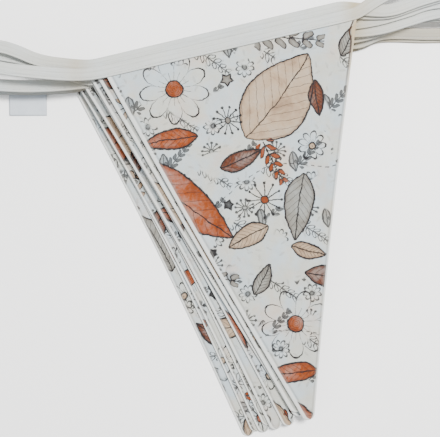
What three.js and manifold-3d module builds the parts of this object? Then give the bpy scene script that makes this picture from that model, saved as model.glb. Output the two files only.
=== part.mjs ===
// Fabric bunting, folded up in a fanned stack and laid flat.
// Nine triangular pennants hang from one long binding tape that runs back and forth over the pile.
// Millimetres, +Z up. The origin lies on the underside of the lowest pennant, below its middle.
// +Y points to the tape along the pennants' tops, -Y to their tips, +X to the right.

import * as THREE from 'three';
import * as BufferGeometryUtils from 'three/addons/utils/BufferGeometryUtils.js';
import Module from 'manifold-3d';

const wasm = await Module();
wasm.setup();

// Pennant: two plies of cotton, sewn, turned and pressed
const PENNANT_WIDTH = 184;
const PENNANT_DROP = 276;
const PENNANT_THICKNESS = 1.0;
const TIP_RADIUS = 5;
const TIP_LEAN = -5;
const TONGUE = 6;
const RIGHT_BOW = -1.6;
const SIDE_STEPS = 5;
const TIP_STEPS = 5;

// Binding tape: bias binding folded in half over the pennants' top edges
const TAPE_WIDTH = 9;
const TAPE_PLY = 0.45;
const TAPE_FREE_THICKNESS = 1.9;
const TURN_RADIUS = 4.2;
const TURN_STEPS = 6;
const SHOULDER = 8;
const FREE_STEP = 11;

// Tab label: a folded ribbon caught in the tape
const LABEL_WIDTH = 28;
const LABEL_DROP = 15.5;
const LABEL_THICKNESS = 1.0;
const LABEL_X = -144.5;
const LABEL_ROWS = 5;
const SLOT_MOUTH = 1;

// Room between sewn or stacked pieces
const GAP = 0.3;
const TAPE_SEWN_THICKNESS = PENNANT_THICKNESS + 2 * GAP + 2 * TAPE_PLY;

// How the cloth settles over what lies beneath it
const CELL = 16;
const GRID_TURN = THREE.MathUtils.degToRad(11.5);
const GRID_HALF_COLUMNS = 10;
const GRID_HALF_ROWS = 13;
const SAG = 0.035;
const SETTLE_PASSES = 600;
const MAX_SLOPE = 0.35;
const CREST_REACH = 28;
const SMOOTH_REACH = 14;
const PROBE_STEP = 3;
const PROBES_ACROSS = 4;
const RIPPLES_ACROSS = 9;
const RIPPLES_DOWN = 5;
const MERGE_REACH = 1e-4;

// Each pennant's lie, lowest first: turn of its top edge in degrees, middle of that edge,
// how far the left side bows out, and the height of the soft ripple that its cloth keeps
const PENNANTS = [
  { turn: 9.2, x: -17.5, y: 109.5, bow: -2.5, ripple: 0.0 },
  { turn: 9.6, x: -13.5, y: 113.0, bow: -4.0, ripple: 0.4 },
  { turn: 10.8, x: -13.5, y: 112.0, bow: -4.0, ripple: 0.6 },
  { turn: 10.8, x: -10.5, y: 117.5, bow: -4.5, ripple: 0.4 },
  { turn: 11.7, x: -9.0, y: 114.0, bow: -4.5, ripple: 0.8 },
  { turn: 12.4, x: -3.0, y: 116.5, bow: -2.5, ripple: 0.5 },
  { turn: 14.2, x: -4.0, y: 122.5, bow: 1.5, ripple: 0.9 },
  { turn: 13.2, x: -1.5, y: 127.0, bow: -0.5, ripple: 0.7 },
  { turn: 13.0, x: 8.5, y: 122.0, bow: 1.5, ripple: 1.0 },
];

// The tape's free stretches beyond the pennants' corners, lowest first, as plan points that lead
// outward. Neighbouring levels share a turn at the last point; a lone last point is a cut end.
const STRETCHES = [
  {
    left: [[-135, 97.5], [-166, 97.5], [-216, 96.5]],
    right: [[101, 130], [117, 136.5], [135, 137.2], [155, 136.6], [206, 138]],
  },
  {
    left: [[-135, 97], [-166, 98], [-204, 99]],
    right: [[101, 130.5], [118, 137.4], [136, 138.2], [156, 137.6], [206, 139]],
  },
  {
    left: [[-135, 97.5], [-166, 97], [-204, 100]],
    right: [[100, 134], [124.5, 141.4], [138, 147], [152, 149.6], [188, 149.5]],
  },
  {
    left: [[-135, 98], [-166, 98.5], [-232, 101]],
    right: [[102, 136.5], [124.5, 142.4], [138, 148], [152, 150.6], [188, 150.5]],
  },
  {
    left: [[-135, 97], [-166, 98], [-232, 102]],
    right: [[100, 137], [120, 139.8], [142, 146.5], [163, 151.8], [224, 161.5]],
  },
  {
    left: [[-134, 112.5], [-163, 117], [-204, 121]],
    right: [[104, 143.2], [119, 146.2], [139, 152.2], [159, 158], [224, 163]],
  },
  {
    left: [[-133, 114], [-163, 119.5], [-204, 122]],
    right: [[120, 149], [142, 156], [162, 162], [206, 173]],
  },
  {
    left: [[-117, 112], [-133, 115], [-163, 124.6], [-232, 127]],
    right: [[120, 150], [142, 157], [162, 163], [206, 174]],
  },
  {
    left: [[-104, 103.2], [-139, 105.2], [-163, 108.8], [-232, 125]],
    right: [[112, 156.8], [140, 171.5], [166, 183.6]],
  },
];

// The second level stands half on its edge on the right, between these two places
const ROLLED_LEVEL = 1;
const ROLL_ANGLE = THREE.MathUtils.degToRad(42);
const ROLL_START = 104;
const ROLL_END = 186;
const ROLL_FULLNESS = 0.7;

const smooth = (t) => THREE.MathUtils.smoothstep(t, 0, 1);

// A pennant's own directions in plan: along its top edge, and down to its tip
function pennantFrame(row) {
  const turn = THREE.MathUtils.degToRad(row.turn);
  return {
    middle: new THREE.Vector2(row.x, row.y),
    along: new THREE.Vector2(Math.cos(turn), Math.sin(turn)),
    down: new THREE.Vector2(Math.sin(turn), -Math.cos(turn)),
  };
}

function pennantPoint(frame, across, drop) {
  return frame.middle.clone().addScaledVector(frame.along, across).addScaledVector(frame.down, drop);
}

// Points of one bowed side, from a top corner to where the rounded tip begins
function bowedSide(frame, top, foot, bow) {
  const run = foot.clone().sub(top);
  const outward = new THREE.Vector2(-run.y, run.x).normalize();
  if (outward.x * Math.sign(top.x) < 0) outward.negate();
  return Array.from({ length: SIDE_STEPS + 1 }, (_, i) => {
    const t = i / SIDE_STEPS;
    const p = top.clone().lerp(foot, t).addScaledVector(outward, bow * Math.sin(Math.PI * t));
    return pennantPoint(frame, p.x, p.y);
  });
}

// The pennant's outline in plan, with the tongue that reaches up into the tape
function pennantOutline(row) {
  const frame = pennantFrame(row);
  const half = PENNANT_WIDTH / 2;
  const tipCentre = new THREE.Vector2(TIP_LEAN, PENNANT_DROP - TIP_RADIUS);
  const tipSpread = Math.atan2(half, PENNANT_DROP);
  const leftFoot = tipCentre.clone().add(
    new THREE.Vector2(-Math.cos(tipSpread), Math.sin(tipSpread)).multiplyScalar(TIP_RADIUS));
  const rightFoot = tipCentre.clone().add(
    new THREE.Vector2(Math.cos(tipSpread), Math.sin(tipSpread)).multiplyScalar(TIP_RADIUS));
  const left = bowedSide(frame, new THREE.Vector2(-half, 0), leftFoot, row.bow);
  const right = bowedSide(frame, new THREE.Vector2(half, 0), rightFoot, RIGHT_BOW);
  const tip = Array.from({ length: TIP_STEPS - 1 }, (_, i) => {
    const angle = tipSpread + (Math.PI - 2 * tipSpread) * (i + 1) / TIP_STEPS;
    const across = tipCentre.x - TIP_RADIUS * Math.cos(angle);
    return pennantPoint(frame, across, tipCentre.y + TIP_RADIUS * Math.sin(angle));
  });
  const tongue = [pennantPoint(frame, half, -TONGUE), pennantPoint(frame, -half, -TONGUE)];
  return [...left, ...tip, ...right.reverse(), ...tongue];
}

// The shared grid: every pennant is a sheet over the same cells, so none can cut into another
const gridAlong = new THREE.Vector2(Math.cos(GRID_TURN), Math.sin(GRID_TURN));
const gridUp = new THREE.Vector2(-Math.sin(GRID_TURN), Math.cos(GRID_TURN));
const gridColumns = 2 * GRID_HALF_COLUMNS + 1;
const gridRows = 2 * GRID_HALF_ROWS + 1;

const nodeIndex = (i, j) => j * gridColumns + i;

function nodePoint(i, j) {
  return new THREE.Vector2()
    .addScaledVector(gridAlong, (i - GRID_HALF_COLUMNS) * CELL)
    .addScaledVector(gridUp, (j - GRID_HALF_ROWS) * CELL);
}

// The cell under a plan point, or null beyond the grid
function cellAt(point) {
  const i = Math.floor(point.dot(gridAlong) / CELL) + GRID_HALF_COLUMNS;
  const j = Math.floor(point.dot(gridUp) / CELL) + GRID_HALF_ROWS;
  const inside = i >= 0 && j >= 0 && i < gridColumns - 1 && j < gridRows - 1;
  return inside ? { i, j } : null;
}

function cellNodes(cell) {
  const { i, j } = cell;
  return [nodeIndex(i, j), nodeIndex(i + 1, j), nodeIndex(i, j + 1), nodeIndex(i + 1, j + 1)];
}

// All grid nodes of the cells that an outline touches
function nodesUnder(outline) {
  const box = new THREE.Box2().setFromPoints(outline);
  const found = new Set();
  const inside = (p) => outline.reduce((odd, a, n) => {
    const b = outline[(n + 1) % outline.length];
    const crosses = (a.y > p.y) !== (b.y > p.y);
    const hit = crosses && p.x < (b.x - a.x) * (p.y - a.y) / (b.y - a.y) + a.x;
    return hit ? !odd : odd;
  }, false);
  const touch = (p) => {
    const cell = cellAt(p);
    if (cell) cellNodes(cell).forEach((node) => found.add(node));
  };
  for (let x = box.min.x; x <= box.max.x; x += PROBE_STEP) {
    for (let y = box.min.y; y <= box.max.y; y += PROBE_STEP) {
      const p = new THREE.Vector2(x, y);
      if (inside(p)) touch(p);
    }
  }
  outline.forEach((a, n) => {
    const b = outline[(n + 1) % outline.length];
    const steps = Math.ceil(a.distanceTo(b));
    for (let s = 0; s <= steps; s += 1) touch(a.clone().lerp(b, s / steps));
  });
  return found;
}

// Plan samples of one level of the tape, from its left end to its right end
function planLevel(level) {
  const frame = pennantFrame(PENNANTS[level]);
  const half = PENNANT_WIDTH / 2;
  const centreDrop = -TAPE_WIDTH / 2;
  const onPennant = [-half - GAP, ...columnCrossings(frame, centreDrop, half - GAP), half + GAP];
  const sewn = onPennant.map((across) => pennantPoint(frame, across, centreDrop));
  const side = (points, corner, sign) => {
    const lead = corner.clone().addScaledVector(frame.along, -sign * 2 * SHOULDER);
    const ends = points.map(([x, y]) => new THREE.Vector2(x, y));
    const curve = new THREE.SplineCurve([lead, corner, ...ends]);
    const first = 1 / (ends.length + 1);
    const length = points.reduce((sum, _, n) => sum + ends[n].distanceTo(n ? ends[n - 1] : corner), 0);
    const steps = Math.ceil(length / FREE_STEP);
    return Array.from({ length: steps }, (_, n) => curve.getPoint(first + (1 - first) * (n + 1) / steps));
  };
  const { left, right } = STRETCHES[level];
  const leftPlan = side(left, sewn[0], -1).reverse();
  const rightPlan = side(right, sewn[sewn.length - 1], 1);
  const plan = [...leftPlan, ...sewn, ...rightPlan];
  return plan.map((point, n) => {
    const before = plan[Math.max(n - 1, 0)];
    const after = plan[Math.min(n + 1, plan.length - 1)];
    const isSewn = n >= leftPlan.length && n < leftPlan.length + sewn.length;
    const heading = isSewn ? frame.along : after.clone().sub(before).normalize();
    const roll = rollAt(level, point.x);
    return { point, heading, isSewn, roll, thickness: tapeThickness(level, point, frame) };
  });
}

// Where a line along a pennant's top edge crosses the grid's columns of nodes
function columnCrossings(frame, drop, reach) {
  const start = pennantPoint(frame, 0, drop).dot(gridAlong);
  const columns = Array.from({ length: gridColumns }, (_, i) => (i - GRID_HALF_COLUMNS) * CELL);
  const crossings = columns.map((place) => (place - start) / frame.along.dot(gridAlong));
  return crossings.filter((across) => Math.abs(across) < reach);
}

function spread(from, to, count) {
  return Array.from({ length: count }, (_, n) => from + (to - from) * n / (count - 1));
}

function rollAt(level, x) {
  if (level !== ROLLED_LEVEL || x < ROLL_START || x > ROLL_END) return 0;
  return ROLL_ANGLE * Math.sin(Math.PI * (x - ROLL_START) / (ROLL_END - ROLL_START)) ** ROLL_FULLNESS;
}

// The tape is thicker where a pennant or the label lies between its plies
function tapeThickness(level, point, frame) {
  const beyondPennant = Math.abs(point.clone().sub(frame.middle).dot(frame.along)) - PENNANT_WIDTH / 2;
  const beyondLabel = level === 0 ? Math.abs(point.x - LABEL_X) - LABEL_WIDTH / 2 : Infinity;
  const beyond = Math.max(Math.min(beyondPennant, beyondLabel) - SLOT_MOUTH, 0);
  return THREE.MathUtils.lerp(TAPE_SEWN_THICKNESS, TAPE_FREE_THICKNESS, smooth(beyond / SHOULDER));
}

// The grid cells and plan points across the tape at one sample
function acrossTape(sample) {
  const sideways = new THREE.Vector2(-sample.heading.y, sample.heading.x);
  return spread(-TAPE_WIDTH / 2, TAPE_WIDTH / 2, PROBES_ACROSS)
    .map((w) => sample.point.clone().addScaledVector(sideways, w));
}

// What the tape lies on at one sample: the pile below, and every tape laid before
function supportUnder(sample, pileTop, laid) {
  let support = 0;
  acrossTape(sample).forEach((p) => {
    const cell = cellAt(p);
    if (cell) cellNodes(cell).forEach((node) => { support = Math.max(support, pileTop[node]); });
  });
  laid.forEach((other) => {
    const near = other.point.distanceTo(sample.point) < TAPE_WIDTH + 2;
    if (near) support = Math.max(support, other.top + GAP);
  });
  return support;
}

// A soft line that nowhere goes below its supports, nor climbs steeply
function softLine(samples, supports) {
  const apart = (a, b) => samples[a].point.distanceTo(samples[b].point);
  const propped = supports.map((_, a) =>
    Math.max(...supports.map((height, b) => height - MAX_SLOPE * apart(a, b))));
  const crest = propped.map((_, a) =>
    Math.max(...propped.filter((__, b) => apart(a, b) <= CREST_REACH)));
  return crest.map((_, a) => {
    const window = crest.filter((__, b) => apart(a, b) <= SMOOTH_REACH);
    return window.reduce((sum, height) => sum + height, 0) / window.length;
  });
}

// One level of tape, laid: each sample gets the height of its middle and of its top
function layTape(level, pileTop, laid, below) {
  const samples = planLevel(level);
  const supports = samples.map((sample) =>
    supportUnder(sample, pileTop, laid) + Math.sin(sample.roll) * TAPE_WIDTH / 2);
  if (below) {
    const end = turnsOnLeft(level) ? 0 : samples.length - 1;
    const lower = turnsOnLeft(level) ? below[0] : below[below.length - 1];
    supports[end] = Math.max(supports[end], lower.z + 2 * TURN_RADIUS - TAPE_FREE_THICKNESS / 2);
  }
  const undersides = softLine(samples, supports);
  samples.forEach((sample, n) => {
    sample.z = undersides[n] + sample.thickness / 2;
    sample.top = sample.z + sample.thickness / 2 + Math.sin(sample.roll) * TAPE_WIDTH / 2;
  });
  return samples;
}

// A level joins the one below it by a turn on the left or on the right, in alternation
function turnsOnLeft(level) {
  return level % 2 === 0;
}

// The height of a laid level of tape beside a plan point
function tapeHeightNear(samples, point) {
  let best = { distance: Infinity, z: 0 };
  for (let n = 0; n < samples.length - 1; n += 1) {
    const a = samples[n];
    const run = samples[n + 1].point.clone().sub(a.point);
    const t = THREE.MathUtils.clamp(point.clone().sub(a.point).dot(run) / run.lengthSq(), 0, 1);
    const distance = a.point.clone().addScaledVector(run, t).distanceTo(point);
    if (distance < best.distance) best = { distance, z: THREE.MathUtils.lerp(a.z, samples[n + 1].z, t) };
  }
  return best.z;
}

// The height of the sewn tape's middle beside a plan point, carried on in a line past the corners
function sewnHeight(sewn, frame, point) {
  const across = (sample) => sample.point.clone().sub(frame.middle).dot(frame.along);
  const wanted = point.clone().sub(frame.middle).dot(frame.along);
  const beyond = sewn.findIndex((sample) => across(sample) > wanted);
  const n = THREE.MathUtils.clamp(beyond < 0 ? sewn.length - 1 : beyond, 1, sewn.length - 1);
  const [a, b] = [sewn[n - 1], sewn[n]];
  return THREE.MathUtils.lerp(a.z, b.z, (wanted - across(a)) / (across(b) - across(a)));
}

// The grid nodes of the cells that a stretch of tape touches
function nodesUnderTape(samples) {
  const found = new Set();
  samples.forEach((sample, n) => {
    const next = samples[Math.min(n + 1, samples.length - 1)];
    const steps = Math.max(Math.ceil(sample.point.distanceTo(next.point) / PROBE_STEP), 1);
    for (let s = 0; s < steps; s += 1) {
      const point = sample.point.clone().lerp(next.point, s / steps);
      acrossTape({ point, heading: sample.heading }).forEach((p) => {
        const cell = cellAt(p);
        if (cell) cellNodes(cell).forEach((node) => found.add(node));
      });
    }
  });
  return found;
}

// The underside of one pennant at each grid node: held by its tape, draped over the pile below
function drapePennant(level, pileTop, tape, covered) {
  const sewn = tape.filter((sample) => sample.isSewn);
  const held = nodesUnderTape(sewn);
  const height = Float64Array.from(pileTop);
  const pointOf = (node) => nodePoint(node % gridColumns, Math.floor(node / gridColumns));
  const frame = pennantFrame(PENNANTS[level]);
  held.forEach((node) => {
    const middle = sewnHeight(sewn, frame, pointOf(node));
    height[node] = Math.max(middle - PENNANT_THICKNESS / 2, pileTop[node]);
  });
  const ripple = (node) => {
    const p = pointOf(node).sub(frame.middle);
    const drop = p.dot(frame.down) / PENNANT_DROP;
    const across = p.dot(frame.along) / PENNANT_WIDTH;
    const wave = Math.sin(RIPPLES_ACROSS * across + 2 * level) * Math.sin(RIPPLES_DOWN * drop + level);
    return PENNANTS[level].ripple * Math.max(wave, 0);
  };
  const floorOf = new Map([...covered].map((node) => [node, pileTop[node] + ripple(node)]));
  const free = [...covered].filter((node) => !held.has(node));
  const neighbours = [1, -1, gridColumns, -gridColumns];
  for (let pass = 0; pass < SETTLE_PASSES; pass += 1) {
    free.forEach((node) => {
      const around = neighbours.map((step) => node + step).filter((other) => covered.has(other));
      const mean = around.reduce((sum, other) => sum + height[other], 0) / around.length;
      height[node] = Math.max(floorOf.get(node), mean - SAG);
    });
  }
  return height;
}

// A closed geometry as a solid that can be cut and joined, and back
function toSolid(geometry) {
  const bare = geometry.clone();
  bare.deleteAttribute('normal');
  bare.deleteAttribute('uv');
  const merged = BufferGeometryUtils.mergeVertices(bare, MERGE_REACH);
  return new wasm.Manifold(new wasm.Mesh({
    numProp: 3,
    vertProperties: new Float32Array(merged.attributes.position.array),
    triVerts: new Uint32Array(merged.index.array),
  }));
}

function toGeometry(solid) {
  const mesh = solid.getMesh();
  const geometry = new THREE.BufferGeometry();
  geometry.setAttribute('position', new THREE.BufferAttribute(new Float32Array(mesh.vertProperties), 3));
  geometry.setIndex(new THREE.BufferAttribute(new Uint32Array(mesh.triVerts), 1));
  return geometry;
}

function indexedGeometry(points, faces) {
  const geometry = new THREE.BufferGeometry().setFromPoints(points);
  geometry.setIndex(faces.flat());
  return geometry;
}

// The whole grid as a sheet of the pennant's thickness, at the given heights
function gridSheet(height) {
  const count = gridColumns * gridRows;
  const points = [];
  [0, PENNANT_THICKNESS].forEach((lift) => {
    for (let j = 0; j < gridRows; j += 1) {
      for (let i = 0; i < gridColumns; i += 1) {
        const p = nodePoint(i, j);
        points.push(new THREE.Vector3(p.x, p.y, height[nodeIndex(i, j)] + lift));
      }
    }
  });
  const faces = [];
  for (let j = 0; j < gridRows - 1; j += 1) {
    for (let i = 0; i < gridColumns - 1; i += 1) {
      const [a, b, c, d] = cellNodes({ i, j });
      faces.push([a, c, b], [b, c, d]);
      faces.push([a + count, b + count, c + count], [b + count, d + count, c + count]);
    }
  }
  const rim = [];
  for (let i = 0; i < gridColumns; i += 1) rim.push(nodeIndex(i, 0));
  for (let j = 1; j < gridRows; j += 1) rim.push(nodeIndex(gridColumns - 1, j));
  for (let i = gridColumns - 2; i >= 0; i -= 1) rim.push(nodeIndex(i, gridRows - 1));
  for (let j = gridRows - 2; j > 0; j -= 1) rim.push(nodeIndex(0, j));
  rim.forEach((a, n) => {
    const b = rim[(n + 1) % rim.length];
    faces.push([a, b, b + count], [a, b + count, a + count]);
  });
  return indexedGeometry(points, faces);
}

// A pennant: the draped sheet, trimmed to the pennant's outline
function pennantGeometry(outline, height) {
  const reach = 2 * Math.max(...height) + CELL;
  const shape = new THREE.Shape(outline);
  const prism = new THREE.ExtrudeGeometry(shape, { depth: 2 * reach, bevelEnabled: false });
  prism.translate(0, 0, -reach);
  return toGeometry(toSolid(gridSheet(height)).intersect(toSolid(prism)));
}

// A flat band swept along stations, each with its place, sideways direction and facing
function bandGeometry(stations, from, to, thicknessOf) {
  const points = [];
  stations.forEach((station) => {
    const lift = thicknessOf(station) / 2;
    [[from, -lift], [to, -lift], [to, lift], [from, lift]].forEach(([sideways, facing]) => {
      points.push(station.place.clone()
        .addScaledVector(station.sideways, sideways)
        .addScaledVector(station.facing, facing));
    });
  });
  const faces = [[0, 1, 2], [0, 2, 3]];
  const last = 4 * (stations.length - 1);
  faces.push([last, last + 2, last + 1], [last, last + 3, last + 2]);
  for (let n = 0; n < stations.length - 1; n += 1) {
    for (let k = 0; k < 4; k += 1) {
      const a = 4 * n + k;
      const b = 4 * n + (k + 1) % 4;
      faces.push([a, a + 4, b + 4], [a, b + 4, b]);
    }
  }
  return indexedGeometry(points, faces);
}

// The tape's whole run: from the cut end at the top right, down through the levels, to the last cut end
function tapeRun(levels) {
  const run = [];
  for (let level = levels.length - 1; level >= 0; level -= 1) {
    const goesLeft = turnsOnLeft(level);
    const samples = goesLeft ? [...levels[level]].reverse() : levels[level];
    samples.forEach((sample) => {
      const upright = Math.cos(sample.roll);
      const sideways = new THREE.Vector3(
        -sample.heading.y * upright, sample.heading.x * upright, Math.sin(sample.roll));
      const place = new THREE.Vector3(sample.point.x, sample.point.y, sample.z);
      run.push({ place, sideways, thickness: sample.thickness });
    });
    if (level > 0) run.push(...turnStations(run[run.length - 1], levels[level - 1], goesLeft));
  }
  run.forEach((station, n) => {
    const before = run[Math.max(n - 1, 0)].place;
    const after = run[Math.min(n + 1, run.length - 1)].place;
    const tangent = after.clone().sub(before).normalize();
    station.facing = new THREE.Vector3().crossVectors(station.sideways, tangent).normalize();
    station.sideways = new THREE.Vector3().crossVectors(tangent, station.facing).normalize();
  });
  return run;
}

// The half round that leads the tape from the end of one level down to the level below
function turnStations(from, lowerLevel, onLeft) {
  const lower = onLeft ? lowerLevel[0] : lowerLevel[lowerLevel.length - 1];
  const to = new THREE.Vector3(lower.point.x, lower.point.y, lower.z);
  const radius = (from.place.z - to.z) / 2;
  const outward = onLeft ? -1 : 1;
  return Array.from({ length: TURN_STEPS - 1 }, (_, n) => {
    const t = (n + 1) / TURN_STEPS;
    const place = from.place.clone().lerp(to, t);
    place.z = to.z + radius * (1 + Math.cos(Math.PI * t));
    place.x += outward * radius * Math.sin(Math.PI * t);
    return { place, sideways: from.sideways.clone(), thickness: TAPE_FREE_THICKNESS };
  });
}

// The slot between the tape's plies that takes one pennant's top edge
function pennantSlot(samples) {
  const stations = samples.filter((sample) => sample.isSewn).map((sample) => ({
    place: new THREE.Vector3(sample.point.x, sample.point.y, sample.z),
    sideways: new THREE.Vector3(-sample.heading.y, sample.heading.x, 0),
    facing: new THREE.Vector3(0, 0, 1),
  }));
  const mouth = -TAPE_WIDTH / 2 - SLOT_MOUTH;
  const root = -TAPE_WIDTH / 2 + TONGUE + GAP;
  return toSolid(bandGeometry(stations.reverse(), mouth, root, () => PENNANT_THICKNESS + 2 * GAP));
}

// The label's run, from inside the tape down to its free end on the surface
function labelStations(tape, from, to) {
  const middle = tape.reduce((best, sample) =>
    Math.abs(sample.point.x - LABEL_X) < Math.abs(best.point.x - LABEL_X) ? sample : best);
  const rows = spread(from, to, LABEL_ROWS);
  return rows.map((drop) => {
    const settle = smooth((drop - SLOT_MOUTH) / (LABEL_DROP - SLOT_MOUTH));
    const z = THREE.MathUtils.lerp(middle.z, LABEL_THICKNESS / 2, settle);
    return {
      place: new THREE.Vector3(LABEL_X, middle.point.y - TAPE_WIDTH / 2 - drop, z),
      sideways: new THREE.Vector3(-1, 0, 0),
      facing: new THREE.Vector3(0, 0, 1),
    };
  });
}

function labelBand(tape, margin) {
  const half = LABEL_WIDTH / 2 + margin;
  const to = margin > 0 ? SLOT_MOUTH : LABEL_DROP;
  const stations = labelStations(tape, -TONGUE - margin, to);
  return bandGeometry(stations, -half, half, () => LABEL_THICKNESS + 2 * margin);
}

const cottonWhite = new THREE.Color(0.86, 0.87, 0.86);
const tapeWhite = new THREE.Color(0.90, 0.90, 0.88);
const labelWhite = new THREE.Color(0.93, 0.93, 0.93);

function clothMaterial(color, roughness) {
  return new THREE.MeshStandardMaterial({ color, roughness, metalness: 0 });
}

const bunting = new THREE.Group();

function addPiece(name, geometry, material) {
  const flat = geometry.toNonIndexed();
  flat.computeVertexNormals();
  const mesh = new THREE.Mesh(flat, material);
  mesh.name = name;
  bunting.add(mesh);
}

const pileTop = new Float64Array(gridColumns * gridRows);
const tapeLevels = [];
PENNANTS.forEach((row, level) => {
  const laid = tapeLevels.flat();
  const tape = layTape(level, pileTop, laid, tapeLevels[level - 1]);
  tapeLevels.push(tape);
  const outline = pennantOutline(row);
  const covered = nodesUnder(outline);
  const height = drapePennant(level, pileTop, tape, covered);
  addPiece(`flag_${level + 1}`, pennantGeometry(outline, height), clothMaterial(cottonWhite, 0.85));
  covered.forEach((node) => {
    pileTop[node] = Math.max(pileTop[node], height[node] + PENNANT_THICKNESS + GAP);
  });
  nodesUnderTape(tape).forEach((node) => {
    const point = nodePoint(node % gridColumns, Math.floor(node / gridColumns));
    pileTop[node] = Math.max(pileTop[node], tapeHeightNear(tape, point) + TAPE_SEWN_THICKNESS / 2 + GAP);
  });
});

const run = tapeRun(tapeLevels);
let tapeSolid = toSolid(bandGeometry(run, -TAPE_WIDTH / 2, TAPE_WIDTH / 2, (station) => station.thickness));
tapeLevels.forEach((samples) => {
  tapeSolid = tapeSolid.subtract(pennantSlot(samples));
});
tapeSolid = tapeSolid.subtract(toSolid(labelBand(tapeLevels[0], GAP)));
addPiece('binding_tape', toGeometry(tapeSolid), clothMaterial(tapeWhite, 0.8));
addPiece('label', labelBand(tapeLevels[0], 0), clothMaterial(labelWhite, 0.7));

export default bunting;
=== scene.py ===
"""Fabric bunting, folded up in a fanned stack: the looks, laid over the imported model."""

import functools
import math

import bmesh
import bpy
import numpy as np
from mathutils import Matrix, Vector
from mathutils.bvhtree import BVHTree
from mathutils.kdtree import KDTree


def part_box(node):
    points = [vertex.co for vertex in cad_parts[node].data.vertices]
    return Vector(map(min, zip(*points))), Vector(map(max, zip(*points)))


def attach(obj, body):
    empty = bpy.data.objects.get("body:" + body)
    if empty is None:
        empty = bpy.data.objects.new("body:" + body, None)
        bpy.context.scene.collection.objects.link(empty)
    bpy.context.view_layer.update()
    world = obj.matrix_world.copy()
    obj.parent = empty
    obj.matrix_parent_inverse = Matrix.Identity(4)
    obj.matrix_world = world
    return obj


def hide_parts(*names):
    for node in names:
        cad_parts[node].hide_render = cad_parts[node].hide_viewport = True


bl_info = {
    "name": "Folded Fabric Bunting",
    "version": (1, 0, 0),
    "blender": (4, 5, 0),
    "location": "View3D > Sidebar > Bunting",
    "description": "Makes the pennants, binding tape, stitching and label of a folded bunting",
    "category": "Object",
}

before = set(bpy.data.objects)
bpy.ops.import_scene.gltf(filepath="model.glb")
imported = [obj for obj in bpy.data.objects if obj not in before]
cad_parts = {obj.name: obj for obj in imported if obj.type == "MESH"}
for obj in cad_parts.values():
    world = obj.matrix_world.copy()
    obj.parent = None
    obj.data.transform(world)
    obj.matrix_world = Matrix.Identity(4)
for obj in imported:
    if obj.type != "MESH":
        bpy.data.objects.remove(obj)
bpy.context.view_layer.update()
MM = 0.001
UP = Vector((0, 0, 1))


def table(columns, *rows):
    """The rows of a table, each as a dict keyed by the columns' names"""
    return [dict(zip(columns.split(), row)) for row in rows]


# How each pennant lies, lowest first, in millimetres and degrees: turn of its top edge, middle
# of that edge, bow of its left side, and width of the plain rolled rim on that side
PENNANTS = table(
    "turn x y bow rim",
    (9.2, -17.5, 109.5, -2.5, 1.7),
    (9.6, -13.5, 113.0, -4.0, 1.5),
    (10.8, -13.5, 112.0, -4.0, 1.8),
    (10.8, -10.5, 117.5, -4.5, 1.6),
    (11.7, -9.0, 114.0, -4.5, 2.3),
    (12.4, -3.0, 116.5, -2.5, 1.8),
    (14.2, -4.0, 122.5, 1.5, 2.4),
    (13.2, -1.5, 127.0, -0.5, 3.0),
    (13.0, 8.5, 122.0, 1.5, 3.3),
)
TOP = len(PENNANTS) - 1
RIGHT_RIM = 1.5
# The small tuck at the top pennant's right corner: how far down it lies, how long and how wide it is
TUCK = {"down": 6.5, "reach": 5.0, "width": 2.3}

# Where each pennant was cut from the printed cloth: shift in millimetres and turn in degrees
CUTS = table(
    "x y turn",
    (12, 40, 150), (64, -22, 112), (-35, 12, 297), (20, 66, 95), (-58, -30, 30),
    (44, 8, 250), (-12, -64, 60), (70, 30, 185), (4, 18, 12),
)

# Soft creases in the top pennant: across and down from the middle of its top edge, the way
# each runs in degrees, its half length and half width, and its height (less than 0 for a trough)
TOP_CREASES = table(
    "across down way reach width height",
    (78, 12, 66, 22, 3.4, -0.45),
    (48, 92, 84, 62, 8.0, 0.95),
    (32, 118, 80, 72, 7.0, -0.5),
    (-16, 58, 97, 50, 9.0, 0.8),
    (-50, 34, 108, 34, 6.0, -0.45),
    (4, 196, 88, 46, 6.0, 0.8),
    (-22, 130, 62, 40, 7.0, 0.5),
    (60, 36, 120, 26, 5.0, 0.5),
    (2, 18, 175, 60, 3.4, -0.3),
)


def length_setting(name, text, default):
    """A length for the panel, with its default in millimetres"""
    return bpy.props.FloatProperty(name=name, description=text, default=default * MM, unit="LENGTH")


def colour_setting(name, text, *default):
    """A colour for the panel"""
    return bpy.props.FloatVectorProperty(name=name, description=text, default=default, size=3, subtype="COLOR")


class PennantSizes(bpy.types.PropertyGroup):
    """Sizes of one pennant"""

    width: length_setting("Width", "Top edge of a pennant", 184)
    drop: length_setting("Drop", "From the tape's lower edge to the tip", 276)
    tip_radius: length_setting("Tip radius", "Roundness of the turned tip", 5)
    tip_lean: length_setting("Tip lean", "How far the tip hangs off the middle", -5)
    tongue: length_setting("Tongue", "How far the cloth reaches into the tape", 5.6)
    right_bow: length_setting("Right bow", "Bow of the right side", -1.6)
    edge: length_setting("Edge", "Thickness of the rolled seam edge", 1.0)
    allowance: length_setting("Seam allowance", "Width of the turned seam allowance", 6)
    ply: length_setting("Cloth", "Thickness of the two plies inside the seams", 0.62)
    top_step: length_setting("Top step", "Mesh step on the top pennant", 1.3)
    step: length_setting("Step", "Mesh step on the other pennants", 2.4)


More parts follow.
